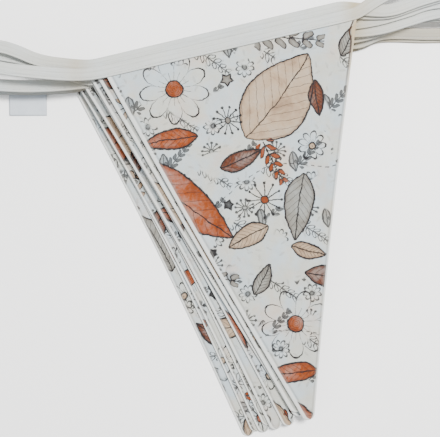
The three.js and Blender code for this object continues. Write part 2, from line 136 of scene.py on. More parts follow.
class TapeSizes(bpy.types.PropertyGroup):
    """Sizes of the binding tape, its stitching and the label"""

    width: length_setting("Width", "Folded width of the binding", 9)
    ply: length_setting("Ply", "Thickness of one side of the fold", 0.78)
    step: length_setting("Step", "Mesh step along the tape", 1.5)
    stitch_inset: length_setting("Stitch inset", "Stitching above the lower edge", 1.9)
    stitch_length: length_setting("Stitch length", "Length of one stitch", 2.5)
    thread: length_setting("Thread", "Thickness of the sewing thread", 0.34)
    label_ply: length_setting("Label ply", "Thickness of the label's ribbon", 0.38)


class BuntingColours(bpy.types.PropertyGroup):
    """Colours of the cloth, the print, the tape, the label and the floor"""

    ground: colour_setting("Ground", "Base of the printed cotton", 0.375, 0.38, 0.34)
    mist: colour_setting("Mist", "Pale blue-grey wash on the ground", 0.335, 0.395, 0.435)
    sand: colour_setting("Sand", "Warm wash on the ground", 0.41, 0.335, 0.27)
    rust: colour_setting("Rust", "Terracotta leaves", 0.185, 0.034, 0.002)
    umber: colour_setting("Umber", "Dark brown leaves", 0.085, 0.022, 0.007)
    parchment: colour_setting("Parchment", "Beige leaves", 0.30, 0.215, 0.14)
    slate: colour_setting("Slate", "Warm grey leaves", 0.165, 0.16, 0.14)
    ink: colour_setting("Ink", "Drawn lines", 0.008, 0.007, 0.008)
    binding: colour_setting("Binding", "White binding tape", 0.45, 0.465, 0.44)
    label: colour_setting("Label", "White label ribbon", 0.46, 0.50, 0.545)
    floor: colour_setting("Floor", "Plain pale surface below", 0.95, 0.95, 0.95)


class StageSettings(bpy.types.PropertyGroup):
    """Camera and light"""

    camera_height: length_setting("Camera height", "Above the surface", 600)
    view_width: length_setting("View width", "Seen across at the top of the stack", 316.8)
    sensor: bpy.props.FloatProperty(
        name="Sensor", description="Sensor width in millimetres", default=36.0)
    sky: bpy.props.FloatProperty(
        name="Sky", description="Strength of the even light all round", default=0.85)
    key: bpy.props.FloatProperty(
        name="Key", description="Power of the main soft light", default=58.0, subtype="POWER")
    fill: bpy.props.FloatProperty(
        name="Fill", description="Power of the fill light", default=3.0, subtype="POWER")


# Meshes and heights


# Points closer than this are one
WELD = 0.0002 * MM
# A solid's underside is read on a square lattice, spread past its sides and smoothed
LATTICE = 4 * MM
LATTICE_MARGIN = 10 * MM
SPREAD_PASSES = 60
SMOOTH_PASSES = 9


def add_object(name, data):
    """An object with this data, linked to the scene"""
    added = bpy.data.objects.new(name, data)
    bpy.context.scene.collection.objects.link(added)
    return added


def new_piece(name, points, faces, material, smooth=True):
    """A mesh object from its points and faces"""
    mesh = bpy.data.meshes.new(name)
    mesh.from_pydata(np.asarray(points).tolist(), [], [tuple(int(v) for v in face) for face in faces])
    mesh.update()
    if smooth:
        mesh.shade_smooth()
    mesh.materials.append(material)
    return add_object(name, mesh)


def quads(index):
    """Four-cornered faces over a lattice of point numbers, facing up"""
    rows, columns = index.shape
    return [(index[j, i], index[j + 1, i], index[j + 1, i + 1], index[j, i + 1])
            for j in range(rows - 1) for i in range(columns - 1)]


def tidy_mesh(piece):
    """Weld doubled points, drop loose ones and make the faces look outwards"""
    work = bmesh.new()
    work.from_mesh(piece.data)
    loose = [v for v in work.verts if not v.link_faces]
    bmesh.ops.delete(work, geom=loose, context="VERTS")
    bmesh.ops.remove_doubles(work, verts=work.verts, dist=WELD)
    bmesh.ops.recalc_face_normals(work, faces=work.faces)
    work.to_mesh(piece.data)
    work.free()


def points_of(piece):
    """A piece's points, one row each"""
    coords = np.empty(len(piece.data.vertices) * 3, dtype=np.float32)
    piece.data.vertices.foreach_get("co", coords)
    return coords.reshape(-1, 3)


def point_values(piece, name, values):
    """Store one number a point, for the materials to read"""
    layer = piece.data.attributes.new(name, "FLOAT", "POINT")
    layer.data.foreach_set("value", np.asarray(values, dtype=np.float32))


def point_map(piece, name, pairs):
    """Store flat coordinates as a UV map, from one pair a point"""
    layer = piece.data.uv_layers.new(name=name)
    corners = np.empty(len(piece.data.loops), dtype=np.int32)
    piece.data.loops.foreach_get("vertex_index", corners)
    layer.data.foreach_set("uv", np.asarray(pairs, dtype=np.float32)[corners].ravel())


def node_tree_of(name):
    """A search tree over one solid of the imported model"""
    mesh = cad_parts[name].data
    points = [tuple(v.co) for v in mesh.vertices]
    return BVHTree.FromPolygons(points, [tuple(p.vertices) for p in mesh.polygons])


def underside(tree, x, y):
    """Height of a solid's underside at one place, or NaN beside it"""
    hit = tree.ray_cast(Vector((x, y, -1.0)), UP)[0]
    return hit.z if hit else math.nan


def along_and_off(x, y, degrees):
    """Places in the plane as measured along a direction and to its left"""
    way = math.radians(degrees)
    return x * math.cos(way) + y * math.sin(way), -x * math.sin(way) + y * math.cos(way)


def ramp(value, low, high):
    """Soft step from 0 at low to 1 at high"""
    t = np.clip((value - low) / (high - low), 0, 1)
    return t * t * (3 - 2 * t)


def blurred(field, passes):
    """A field averaged with its neighbours, several times over"""
    for _ in range(passes):
        padded = np.pad(field, 1, mode="edge")
        field = (padded[1:-1, 1:-1] * 4 + padded[:-2, 1:-1] + padded[2:, 1:-1]
                 + padded[1:-1, :-2] + padded[1:-1, 2:]) / 8
    return field


def draped_height(node, x, y):
    """Height of a pennant solid's underside at arrays of places, with its facets smoothed out"""
    low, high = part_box(node)
    tree = node_tree_of(node)
    x0, y0 = low.x - LATTICE_MARGIN, low.y - LATTICE_MARGIN
    columns = int((high.x - low.x + 2 * LATTICE_MARGIN) / LATTICE) + 2
    rows = int((high.y - low.y + 2 * LATTICE_MARGIN) / LATTICE) + 2
    height = np.array([[underside(tree, x0 + i * LATTICE, y0 + j * LATTICE) for i in range(columns)]
                       for j in range(rows)])
    known = ~np.isnan(height)
    filled = np.where(known, height, 0.0)
    weight = known.astype(float)
    for _ in range(SPREAD_PASSES):
        share = np.maximum(blurred(weight, 1), 1e-9)
        filled = np.where(known, height, blurred(filled * weight, 1) / share)
        weight = np.where(known, 1.0, np.minimum(share, 0.5))
    smooth = blurred(filled, SMOOTH_PASSES)
    u = np.clip((x - x0) / LATTICE, 0, columns - 1.001)
    v = np.clip((y - y0) / LATTICE, 0, rows - 1.001)
    i, j = u.astype(int), v.astype(int)
    s, t = ramp(u - i, 0, 1), ramp(v - j, 0, 1)
    nearer = smooth[j, i] * (1 - s) + smooth[j, i + 1] * s
    farther = smooth[j + 1, i] * (1 - s) + smooth[j + 1, i + 1] * s
    return nearer * (1 - t) + farther * t


# Pennants


# How far from a pennant's sides its mesh lines run, close together over the rim and the seam
EDGE_ROWS = np.array([0.0, 0.1, 0.3, 0.6, 1.0, 1.5, 2.1, 2.7, 3.2, 3.7, 4.4, 5.3, 6.5]) * MM
# The last mesh line stops this short of the tip, so that it has some width
TIP_GAP = 0.05 * MM

# The rolled edge: radius of its bead, swell of the rim, depth and half width of the seam's groove
BEAD = 0.55 * MM
SWELL = 0.22 * MM
GROOVE_DEPTH = 0.34 * MM
GROOVE_WIDTH = 0.42 * MM
# The puckers that the seam draws, as two waves down the side that beat against each other
PUCKER_HEIGHT = 0.09 * MM
PUCKER_WAVES = (1.25 * MM, 3.1 * MM)

# The gathers below the tape: height, spacing, how much and how often the spacing drifts, and reach
GATHERS = {"height": 0.3 * MM, "spacing": 3.3 * MM, "drift": 1.4, "drifting": 15 * MM, "reach": 17 * MM}
DEEPEST_CREASE = 0.3 * MM

# How far down the tan of the top pennant's right rim reaches
TAN_REACH = 46 * MM
# Millimetres of cloth to one unit of the print's map
PRINT_UNIT = 100.0


def side_profile(sizes, sign, bow):
    """How far out one side of a pennant lies at each drop, as two arrays"""
    half = sizes.width / 2
    centre_drop = sizes.drop - sizes.tip_radius
    spread = math.atan2(half, sizes.drop)
    top = np.array([sign * half, 0.0])
    foot = np.array([sizes.tip_lean + sign * math.cos(spread) * sizes.tip_radius,
                     centre_drop + math.sin(spread) * sizes.tip_radius])
    run = foot - top
    outward = np.array([-run[1], run[0]]) / np.linalg.norm(run)
    if outward[0] * sign < 0:
        outward = -outward
    t = np.linspace(0, 1, 40)[:, None]
    side = top + run * t + outward * bow * np.sin(math.pi * t)
    angle = np.linspace(spread, math.pi / 2, 16)[1:]
    tip = np.stack([sizes.tip_lean + sign * sizes.tip_radius * np.cos(angle),
                    centre_drop + sizes.tip_radius * np.sin(angle)], axis=1)
    whole = np.vstack([side, tip])
    return whole[:, 1], whole[:, 0]


def sides_at(sizes, level, drop):
    """How far out a pennant's left and right sides lie at one or many drops"""
    return (np.interp(drop, *side_profile(sizes, -1, PENNANTS[level]["bow"] * MM)),
            np.interp(drop, *side_profile(sizes, 1, sizes.right_bow)))


def side_slant(sizes):
    """Distance from a slanting side for each unit of distance across"""
    return math.cos(math.atan2(sizes.width / 2, sizes.drop))


def right_rim(level, drop):
    """Width of the rolled rim on a pennant's right side at one or many drops"""
    off = (np.asarray(drop) / MM - TUCK["down"]) / TUCK["reach"]
    tuck = TUCK["width"] * np.exp(-off ** 2) if level == TOP else 0.0
    return (RIGHT_RIM + tuck) * MM


def pennant_lattice(sizes, level):
    """Across and down places of a pennant's mesh, with its nearest edge's distance and rim width"""
    step = sizes.top_step if level == TOP else sizes.step
    slant = side_slant(sizes)
    body = np.arange(-sizes.tongue, sizes.drop - EDGE_ROWS[-1] - step / 2, step)
    drops = np.concatenate([body, sizes.drop - np.maximum(EDGE_ROWS[::-1], TIP_GAP)])
    left, right = (side[:, None] for side in sides_at(sizes, level, drops))
    span = np.maximum(right - left, 1e-6)
    near = EDGE_ROWS / slant
    near = near * np.minimum(1.0, span / (2.4 * near[-1]))
    inner = np.linspace(0, 1, int(sizes.width / step))[1:-1]
    middle = near[:, -1:] + (span - 2 * near[:, -1:]) * inner
    across = left + np.hstack([near, middle, span - near[:, ::-1]])
    down = np.repeat(drops[:, None], across.shape[1], axis=1)
    to_side = np.minimum(across - left, right - across) * slant
    tip_top = sizes.drop - sizes.tip_radius
    to_tip = sizes.tip_radius - np.hypot(across - sizes.tip_lean, down - tip_top)
    edge = np.where(down > tip_top, np.minimum(to_side, np.maximum(to_tip, 0)), to_side)
    on_left = across - left < right - across
    rim = np.where(on_left, PENNANTS[level]["rim"] * MM, right_rim(level, down))
    return across, down, np.maximum(edge, 0), rim


def cloth_thickness(sizes, edge, rim, down, level):
    """Upper and lower faces of the sewn cloth above its lowest plane, from the rolled edge inwards"""
    middle = sizes.edge / 2
    roll = np.clip(edge / BEAD, 1e-4, 1)
    bead = middle * np.sqrt(1 - (1 - roll) ** 2)
    swell = SWELL * np.sin(math.pi * np.clip(edge / rim, 0, 1)) ** 0.8
    groove = GROOVE_DEPTH * np.exp(-((edge - rim) / GROOVE_WIDTH) ** 2)
    inside = ramp(edge, sizes.allowance - 0.8 * MM, sizes.allowance + 1.6 * MM)
    short, long = PUCKER_WAVES
    puckers = PUCKER_HEIGHT * np.sin(down / short + level) * np.sin(down / long + 2 * level)
    puckers = puckers * ramp(edge, 0.5 * rim, rim) * (1 - inside)
    body = sizes.edge * 0.92 * (1 - inside) + sizes.ply * inside
    past_bead = ramp(edge, 0.5 * MM, 1.2 * MM)
    top = (middle + bead) * (1 - past_bead) + body * past_bead + swell - groove + puckers
    bottom = (middle - bead) * (1 - past_bead)
    return top, np.minimum(bottom, top)


def crease_height(across, down):
    """The top pennant's gathers and soft creases, added up"""
    drift = GATHERS["drift"] * np.sin(across / GATHERS["drifting"])
    gathers = np.sin(across / GATHERS["spacing"] + drift)
    total = GATHERS["height"] * gathers * np.exp(-np.maximum(down, 0) / GATHERS["reach"])
    for crease in TOP_CREASES:
        along, off = along_and_off(across - crease["across"] * MM, down - crease["down"] * MM, crease["way"])
        fade = np.exp(-(along / (crease["reach"] * MM)) ** 2)
        total += crease["height"] * MM * fade * np.exp(-(off / (crease["width"] * MM)) ** 2)
    return total


def make_pennant(level, material):
    """One sewn and turned pennant, draped as its solid is"""
    sizes = bpy.context.scene.bunting_pennant
    lie = PENNANTS[level]
    name = f"pennant_{level + 1}"
    node = f"flag_{level + 1}"
    across, down, edge, rim = pennant_lattice(sizes, level)
    right, back = along_and_off(across, down, lie["turn"])
    x = lie["x"] * MM + right
    y = lie["y"] * MM - back
    base = draped_height(node, x, y)
    if level == 0:
        base = np.maximum(base, 0.0)
    if level == TOP:
        creases = np.maximum(crease_height(across, down), -DEEPEST_CREASE)
        base = base + creases * ramp(edge, 0.0, 3 * MM) * ramp(down, 0.0, 4 * MM)
    top, bottom = cloth_thickness(sizes, edge, rim, down, level)
    rows, columns = across.shape
    count = rows * columns
    upper = np.stack([x, y, base + top], axis=2).reshape(-1, 3)
    lower = np.stack([x, y, base + bottom], axis=2).reshape(-1, 3)
    index = np.arange(count).reshape(rows, columns)
    under = index + count
    under[:, 0] = index[:, 0]
    under[:, -1] = index[:, -1]
    under[-1, :] = index[-1, :]
    faces = quads(index) + [face[::-1] for face in quads(under)]
    faces += [(index[0, i], index[0, i + 1], under[0, i + 1], under[0, i]) for i in range(1, columns - 2)]
    faces += [(index[0, 0], index[0, 1], under[0, 1]), (index[0, -2], index[0, -1], under[0, -2])]
    piece = new_piece(name, np.vstack([upper, lower]), faces, material)
    tidy_mesh(piece)
    cloth_coordinates(piece, level)
    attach(piece, "root")
    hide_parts(node)
    return piece


def cloth_coordinates(piece, level):
    """Where each point lies on the printed cloth, and how near it is to the rim and the seam"""
    sizes = bpy.context.scene.bunting_pennant
    lie, cut = PENNANTS[level], CUTS[level]
    x, y, _ = points_of(piece).T
    across, rise = along_and_off(x - lie["x"] * MM, y - lie["y"] * MM, lie["turn"])
    drop = -rise
    left, right = sides_at(sizes, level, drop)
    left_rim = lie["rim"] * MM
    left_share = (across - left) / left_rim
    right_share = (right - across) / right_rim(level, drop)
    point_values(piece, "rim_share", np.minimum(left_share, right_share))
    slant = side_slant(sizes)
    left_off = (across - left) * slant - left_rim
    right_off = (right - across) * slant - right_rim(level, drop)
    point_values(piece, "seam_off", np.where(left_share < right_share, left_off, right_off) / MM)
    tanned = np.exp(-(np.maximum(drop, 0) / TAN_REACH) ** 2) * ramp(drop, -2 * MM, 1 * MM)
    point_values(piece, "tan_share", tanned * (right_share < left_share) * float(level == TOP))
    u, v = along_and_off(across, drop, cut["turn"])
    point_map(piece, "print", np.stack([u / MM + cut["x"], v / MM + cut["y"]], axis=1) / PRINT_UNIT)


# Tape


# The walk along the tape keeps this far from its middle, towards the closed edge
SPINE = 3.2 * MM
# It starts at the cut end at the top right: about where that lies across, the walk's first
# directions, and how far in from the end's highest corner it begins
CUT_END_X = 165 * MM
START_AHEAD = (-0.92, -0.39, 0.02)
START_SIDEWAYS = (-0.39, 0.92, 0.0)
START_IN = {"ahead": 1.0 * MM, "sideways": 1.3 * MM, "down": 0.9 * MM}
# How far it looks for the band's faces, how far ahead of a station a look begins, and a limit
PROBE = 4 * MM
NUDGE = 0.02 * MM
MOST_STATIONS = 6000
FACET_PASSES = 6

# Width of the painted shade along the tape's long edges
TAPE_RIM = 0.55 * MM
# Between these thicknesses the tape goes from free to sewn; the waves of the puckers in its sewn
# part, and their height as a share of the thickness
SEWN = (2.0 * MM, 2.7 * MM)
TAPE_WAVES = (0.95 * MM, 2.3 * MM, 5.1 * MM)
TAPE_PUCKER = 0.075

# Where the tape comes out of the stack and warm shade is painted on it, in millimetres: the side,
# how far out it is strongest, how far it fades, where it sets in and is full, and its share
CREAM = table("side x reach low high share", (1, 97, 17, 80, 96, 1.0), (-1, 104, 16, 84, 100, 0.6))
# Painted warm shade on the low stretches at the right: its share, where it sets in, and the heights it fades over
CREAM_LOW = {"share": 0.55, "across": (112, 128), "height": (9, 13)}
# The stretches above these heights get no painted warm shade and stay white
CREAM_TOP = (27, 33)

# How deep the stitches sit in the cloth, their share of the stitch length, and their side drift
STITCH_DEPTH = 0.13 * MM
STITCH_SHARE = 0.86
STITCH_DRIFT = 0.08 * MM


def walk_tape():
    """Follow the tape's solid from its cut end at the top right to the other end.

    The walk keeps inside the closed side of the fold, and finds its way by looking for the
    band's faces all round. It gives the places, sideways and facing directions, and thickness."""
    sizes = bpy.context.scene.bunting_tape
    tree = node_tree_of("binding_tape")
    corners = [v.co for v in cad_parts["binding_tape"].data.vertices]
    end = max(corners, key=lambda p: p.y * 2 - abs(p.x - CUT_END_X))
    ahead = Vector(START_AHEAD).normalized()
    sideways = Vector(START_SIDEWAYS).normalized()
    facing = sideways.cross(ahead).normalized()
    place = end + ahead * START_IN["ahead"] - sideways * START_IN["sideways"] - facing * START_IN["down"]
    stations = []
    for _ in range(MOST_STATIONS):
        up, up_normal = tree.ray_cast(place, facing, PROBE)[:2]
        down, down_normal = tree.ray_cast(place, -facing, PROBE)[:2]
        if up is None or down is None:
            break
        place = (up + down) / 2
        facing = (up_normal.normalized() - down_normal.normalized() + facing).normalized()
        side, side_normal = tree.ray_cast(place, sideways, PROBE)[:2]
        if side is None:
            break
        place = side - sideways * (sizes.width / 2 - SPINE)
        sideways = (side_normal.normalized() * 0.3 + sideways).normalized()
        ahead = (facing.cross(sideways)).normalized()
        sideways = ahead.cross(facing).normalized()
        stations.append((place.copy(), sideways.copy(), facing.copy(), (up - down).length))
        wall, wall_normal = tree.ray_cast(place + ahead * NUDGE, ahead, 1.3 * sizes.step)[:2]
        if wall is not None and (wall - place).length < sizes.step * 1.05:
            if abs(wall_normal.dot(ahead)) > 0.95:
                break
        place = place + ahead * sizes.step
    return stations


@functools.cache
def tape_run():
    """The walked run with the solid's facets smoothed out, as arrays: the middle of the band at
    each station, its sideways and facing directions and its thickness"""
    stations = walk_tape()
    spine, sideways, facing = (np.array([s[k][:] for s in stations]) for k in range(3))
    thick = np.array([s[3] for s in stations])
    for _ in range(FACET_PASSES):
        for values in (spine, sideways, facing, thick):
            values[1:-1] = (values[:-2] + 2 * values[1:-1] + values[2:]) / 4
    ahead = np.gradient(spine, axis=0)
    ahead /= np.linalg.norm(ahead, axis=1)[:, None]
    sideways -= ahead * np.sum(sideways * ahead, axis=1)[:, None]
    sideways /= np.linalg.norm(sideways, axis=1)[:, None]
    facing = np.cross(sideways, ahead)
    return spine - sideways * SPINE, sideways, facing, thick


def lengths_along(places):
    """How far along its run each station lies"""
    return np.concatenate([[0], np.cumsum(np.linalg.norm(np.diff(places, axis=0), axis=1))])


def tape_section(width, thickness, ply, mouth):
    """Closed outline of the folded binding: across from its open lower edge, and facing"""
    half = width / 2
    t = thickness / 2
    inner = max(t - ply, 0.03 * MM)
    front = [(-half + 0.02 * MM, inner + 0.25 * ply), (-half, inner + 0.55 * ply),
             (-half + 0.12 * MM, t - 0.12 * ply), (-half + 0.5 * MM, t),
             (-half + mouth - 0.55 * MM, t), (-half + mouth, t - 0.26 * MM),
             (-half + mouth + 0.55 * MM, t), (-half + 0.45 * width, t + 0.02 * MM), (half - 1.6 * MM, t)]
    fold = [(half - t + t * math.cos(a), t * math.sin(a)) for a in np.linspace(math.pi / 2, -math.pi / 2, 7)]
    back = [(across, -facing) for across, facing in reversed(front)]
    inside = [(-half + 0.1 * MM, -inner), (-half + 3 * MM, -inner), (half - 2.5 * MM, -inner * 0.8),
              (half - 2.1 * MM, 0.0), (half - 2.5 * MM, inner * 0.8), (-half + 3 * MM, inner),
              (-half + 0.1 * MM, inner)]
    return np.array(front + fold + back + inside)


def puckered(section, along, thickness):
    """The outline with the small slanting puckers that the stitching pulls into the sewn tape"""
    across, facing = section[:, 0], section[:, 1]
    short, middle, long = ((along + 0.5 * across) / wave for wave in TAPE_WAVES)
    wave = np.sin(short) * np.sin(middle + 0.8) + 0.6 * np.sin(long)
    outer = ramp(np.abs(facing), 0.35 * thickness, 0.45 * thickness)
    section[:, 1] = facing * (1 + ramp(thickness, *SEWN) * outer * wave * TAPE_PUCKER)
    return section


def sweep(run, section_at):
    """A closed skin over a run of stations, with one section outline at each"""
    place, sideways, facing = run[:3]
    rings = []
    for n in range(len(place)):
        section = section_at(n)
        rings.append(place[n] + section[:, :1] * sideways[n] + section[:, 1:] * facing[n])
    size = len(rings[0])
    faces = []
    for n in range(len(rings) - 1):
        for k in range(size):
            a, b = n * size + k, n * size + (k + 1) % size
            faces.append((a, a + size, b + size, b))
    faces.append(range(size))
    faces.append(reversed(range((len(rings) - 1) * size, len(rings) * size)))
    return np.vstack(rings), faces


def mark_stack_shade(piece):
    """Mark where warm shade is painted on the tape, where it comes out of the stack and on its low stretches"""
    x, _, z = points_of(piece).T / MM
    out = sum(spot["share"] * np.exp(-np.abs(spot["side"] * x - spot["x"]) / spot["reach"])
              * ramp(spot["side"] * x, spot["low"], spot["high"]) for spot in CREAM)
    low = CREAM_LOW["share"] * ramp(x, *CREAM_LOW["across"]) * (1 - ramp(z, *CREAM_LOW["height"]))
    point_values(piece, "warmth", np.clip(out * (1 - ramp(z, *CREAM_TOP)) + low, 0, 1))


def strip_places(piece, run, width):
    """Mark each point's place along and across the tape, and how near it is to a long edge"""
    points = points_of(piece)
    tree = KDTree(len(run[0]))
    for n, spot in enumerate(run[0]):
        tree.insert(spot, n)
    tree.balance()
    station = [tree.find(point)[1] for point in points]
    across = np.sum((points - run[0][station]) * run[1][station], axis=1)
    from_edge = (width / 2 - np.abs(across)) / TAPE_RIM
    point_values(piece, "along_tape", lengths_along(run[0])[station] / MM)
    point_values(piece, "across_tape", across / MM)
    point_values(piece, "edge_share", 1 - np.clip(from_edge, 0, 1))


def make_tape(material):
    """The binding: one strip folded in half along its whole run"""
    sizes = bpy.context.scene.bunting_tape
    run = tape_run()
    thick = run[3]
    points, faces = sweep(run, lambda n: puckered(
        tape_section(sizes.width, thick[n], sizes.ply, sizes.stitch_inset), n * sizes.step, thick[n]))
    points[:, 2] = np.maximum(points[:, 2], 0.0)
    piece = new_piece("binding", points, faces, material)
    tidy_mesh(piece)
    length = lengths_along(run[0])[-1]
    mark_stack_shade(piece)
    strip_places(piece, run, sizes.width)
    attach(piece, "root")
    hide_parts("binding_tape")
    return piece


def stitch_shape(length, thread):
    """One stitch, lying along X: a small rounded bar with its ends drawn down"""
    ring = 6
    stations = ((-0.5, 0.35, -0.45), (-0.3, 0.9, 0.1), (0.0, 1.0, 0.25), (0.3, 0.9, 0.1), (0.5, 0.35, -0.45))
    points = []
    for along, size, lift in stations:
        for k in range(ring):
            angle = 2 * math.pi * k / ring
            points.append((along * length, math.cos(angle) * size * thread / 2,
                           (math.sin(angle) * size + lift) * thread / 2))
    faces = []
    for n in range(len(stations) - 1):
        for k in range(ring):
            a, b = n * ring + k, n * ring + (k + 1) % ring
            faces.append((a, b, b + ring, a + ring))
    faces.append(tuple(reversed(range(ring))))
    faces.append(tuple(range(len(points) - ring, len(points))))
    return np.array(points), faces


def make_stitching(material):
    """Topstitching along the tape's lower edge, on both faces, as one piece"""
    sizes = bpy.context.scene.bunting_tape
    place, sideways, facing, thick = tape_run()
    along = lengths_along(place)
    shape, shape_faces = stitch_shape(sizes.stitch_length * STITCH_SHARE, sizes.thread)
    points, faces = [], []
    where = np.arange(sizes.stitch_length, along[-1] - sizes.stitch_length, sizes.stitch_length)
    for n, distance in enumerate(where):
        centre, side, face = (np.array([np.interp(distance, along, values[:, k]) for k in range(3)])
                              for values in (place, sideways, facing))
        depth = np.interp(distance, along, thick) / 2
        side /= np.linalg.norm(side)
        face /= np.linalg.norm(face)
        ahead = np.cross(side, face)
        across = -sizes.width / 2 + sizes.stitch_inset + STITCH_DRIFT * math.sin(0.7 * n)
        for sign in (1, -1):
            origin = centre + side * across + face * sign * (depth - STITCH_DEPTH)
            axes = np.stack([ahead, side * sign, face * sign])
            faces += [tuple(v + len(points) * len(shape) for v in f) for f in shape_faces]
            points.append(origin + shape @ axes)
    piece = new_piece("tape_stitching", np.vstack(points), faces, material)
    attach(piece, "root")
    return piece


# Label


LABEL_ROWS, LABEL_COLUMNS = 44, 30
# The label's thickness over both plies, how far the ribbon reaches into the tape less than its
# solid, how the fold rounds it off, the curl of its end, and the width of its darker edge
LABEL_THICK = 0.98 * MM
LABEL_SHORT = 1.0 * MM
FOLD_ROUND = 0.45 * MM
FOLD_REACH = 1.2 * MM
LABEL_CURL = 0.35 * MM
LABEL_RIM = 1.1 * MM


def make_label(material):
    """The tab label: a ribbon folded at its free end, both ends caught in the tape"""
    low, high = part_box("label")
    ply = bpy.context.scene.bunting_tape.label_ply
    tree = node_tree_of("label")
    top = high.y - LABEL_SHORT
    span = top - low.y
    down = np.arange(LABEL_ROWS + 1)[:, None] / LABEL_ROWS
    across = np.arange(LABEL_COLUMNS + 1)[None, :] / LABEL_COLUMNS
    curl = LABEL_CURL * np.sin(math.pi * across * 1.3 + 0.5) * down ** 2
    grid = np.empty((LABEL_ROWS + 1, LABEL_COLUMNS + 1, 3))
    grid[:, :, 0] = low.x + (high.x - low.x) * across
    grid[:, :, 1] = top - span * down
    inside = np.clip(grid[:, 0, 1], low.y + 0.3 * MM, high.y - 0.3 * MM)
    lift = np.nan_to_num([underside(tree, (low.x + high.x) / 2, y) for y in inside])
    grid[:, :, 2] = lift[:, None] + np.maximum(curl, 0)
    fold = ramp(low.y + FOLD_REACH - grid[:, :, 1], 0, FOLD_REACH)
    ribbon = both_plies(grid, LABEL_THICK, fold * FOLD_ROUND)
    lining = both_plies(grid, LABEL_THICK, ply + fold * 0.08 * MM)
    lining[LABEL_ROWS:LABEL_ROWS + 2, :, 1] += ply * 1.2
    count = ribbon.shape[0] * ribbon.shape[1]
    outer = np.arange(count).reshape(ribbon.shape[:2])
    faces = quads(outer) + [f[::-1] for f in quads(outer + count)]
    for line in (outer[:, 0], outer[:, -1], outer[0, :], outer[-1, :]):
        faces += [(line[k], line[k + 1], line[k + 1] + count, line[k] + count) for k in range(len(line) - 1)]
    points = np.vstack([ribbon.reshape(-1, 3), lining.reshape(-1, 3)])
    piece = new_piece("tab_label", points, faces, material)
    tidy_mesh(piece)
    x, y, _ = points_of(piece).T
    to_edge = np.minimum(np.minimum(x - low.x, high.x - x), y - low.y)
    point_values(piece, "edge_share", 1 - np.clip(to_edge / LABEL_RIM, 0, 1))
    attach(piece, "root")
    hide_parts("label")
    return piece


def both_plies(grid, thickness, inset):
    """A sheet doubled over at its last row: down the upper ply, then back along the lower one"""
    upper, lower = grid.copy(), grid.copy()
    upper[:, :, 2] += thickness - inset
    lower[:, :, 2] += inset
    return np.concatenate([upper, lower[::-1]], axis=0)


# Node recipes


def operator_for(operation):
    """A Value's way to put itself, and another value, through one math operation"""
    return lambda self, *other: self.recipe.math(operation, self, *other)


class Value:
    """A shader value: arithmetic and comparisons on it add the math nodes"""

    __add__ = operator_for("ADD")
    __sub__ = operator_for("SUBTRACT")
    __mul__ = operator_for("MULTIPLY")
    __truediv__ = operator_for("DIVIDE")
    __gt__ = operator_for("GREATER_THAN")
    __lt__ = operator_for("LESS_THAN")
    __abs__ = operator_for("ABSOLUTE")

    def __init__(self, recipe, socket):
        self.recipe = recipe
        self.socket = socket

    def __rsub__(self, other):
        return self.recipe.math("SUBTRACT", other, self)


class Recipe:
    """Short hand for building a node tree: each call adds nodes and gives a value"""

    def __init__(self, tree):
        self.tree = tree
        self.tree.nodes.clear()

    def node(self, kind, *feeds, **settings):
        """Add a node with its settings, and feed its inputs from pairs of input and value"""
        made = self.tree.nodes.new(kind)
        for key, setting in settings.items():
            setattr(made, key, setting)
        for key, value in feeds:
            if isinstance(value, Value):
                self.tree.links.new(value.socket, made.inputs[key])
            else:
                made.inputs[key].default_value = value
        return made

    def value(self, kind, *feeds, output=0, **settings):
        """Add a node in the same way, and give one of its outputs"""
        return Value(self, self.node(kind, *feeds, **settings).outputs[output])

    def outputs(self, made):
        """All outputs of a node by name"""
        return {socket.name: Value(self, socket) for socket in made.outputs if socket.name}

    def math(self, operation, *values, clamp=False):
        return self.value("ShaderNodeMath", *enumerate(values), operation=operation, use_clamp=clamp)

    def sin(self, value):
        return self.math("SINE", value)

    def cos(self, value):
        return self.math("COSINE", value)

    def largest(self, *values):
        return functools.reduce(functools.partial(self.math, "MAXIMUM"), values)

    def folded(self, value, span):
        """A value that runs to and fro between 0 and span"""
        return self.math("PINGPONG", value, span)

    def distance(self, x, y):
        return self.math("SQRT", x * x + y * y)

    def fade(self, *values):
        """Soft step: a value, its low and high ends, and the results there if not 0 and 1"""
        return self.value("ShaderNodeMapRange", *enumerate(values), interpolation_type="SMOOTHSTEP")

    def near(self, value, full, none):
        """1 up to one value, fading to 0 at another"""
        return self.fade(value, full, none, 1.0, 0.0)

    def vector(self, operation, *values):
        return self.value("ShaderNodeVectorMath", *enumerate(values), operation=operation)

    def turned(self, vector, angle):
        """A vector turned about Z"""
        return self.value("ShaderNodeVectorRotate", ("Vector", vector), ("Angle", angle), rotation_type="Z_AXIS")

    def split(self, vector):
        x, y, _ = self.outputs(self.node("ShaderNodeSeparateXYZ", (0, vector))).values()
        return x, y

    def join(self, x, y):
        return self.value("ShaderNodeCombineXYZ", (0, x), (1, y))

    def noise(self, vector, scale, detail=2.0, roughness=0.5, distortion=0.0, output="Fac"):
        return self.value("ShaderNodeTexNoise", ("Vector", vector), ("Scale", scale), ("Detail", detail),
                          ("Roughness", roughness), ("Distortion", distortion), output=output)

    def mix(self, share, a, b, blend="MIX"):
        """Colour a, turned into colour b by a share"""
        a, b = (colour if isinstance(colour, Value) else (*colour, 1.0) for colour in (a, b))
        return self.value("ShaderNodeMix", (0, share), (6, a), (7, b), output=2, data_type="RGBA", blend_type=blend)

    def mark(self, name):
        """A number stored at the mesh's points"""
        return self.value("ShaderNodeAttribute", output="Fac", attribute_name=name)

    def place(self, scale):
        """The place on the part, scaled up from metres"""
        return self.vector("MULTIPLY", self.value("ShaderNodeTexCoord", output="Object"), (scale, scale, scale))

    def group(self, name, **values):
        """A shared group at work, as its outputs by name"""
        return self.outputs(self.node("ShaderNodeGroup", *values.items(), node_tree=shared(name)))

    def give(self, **values):
        """Feed this group's outputs, and hand over its tree"""
        self.node("NodeGroupOutput", *values.items())
        return self.tree


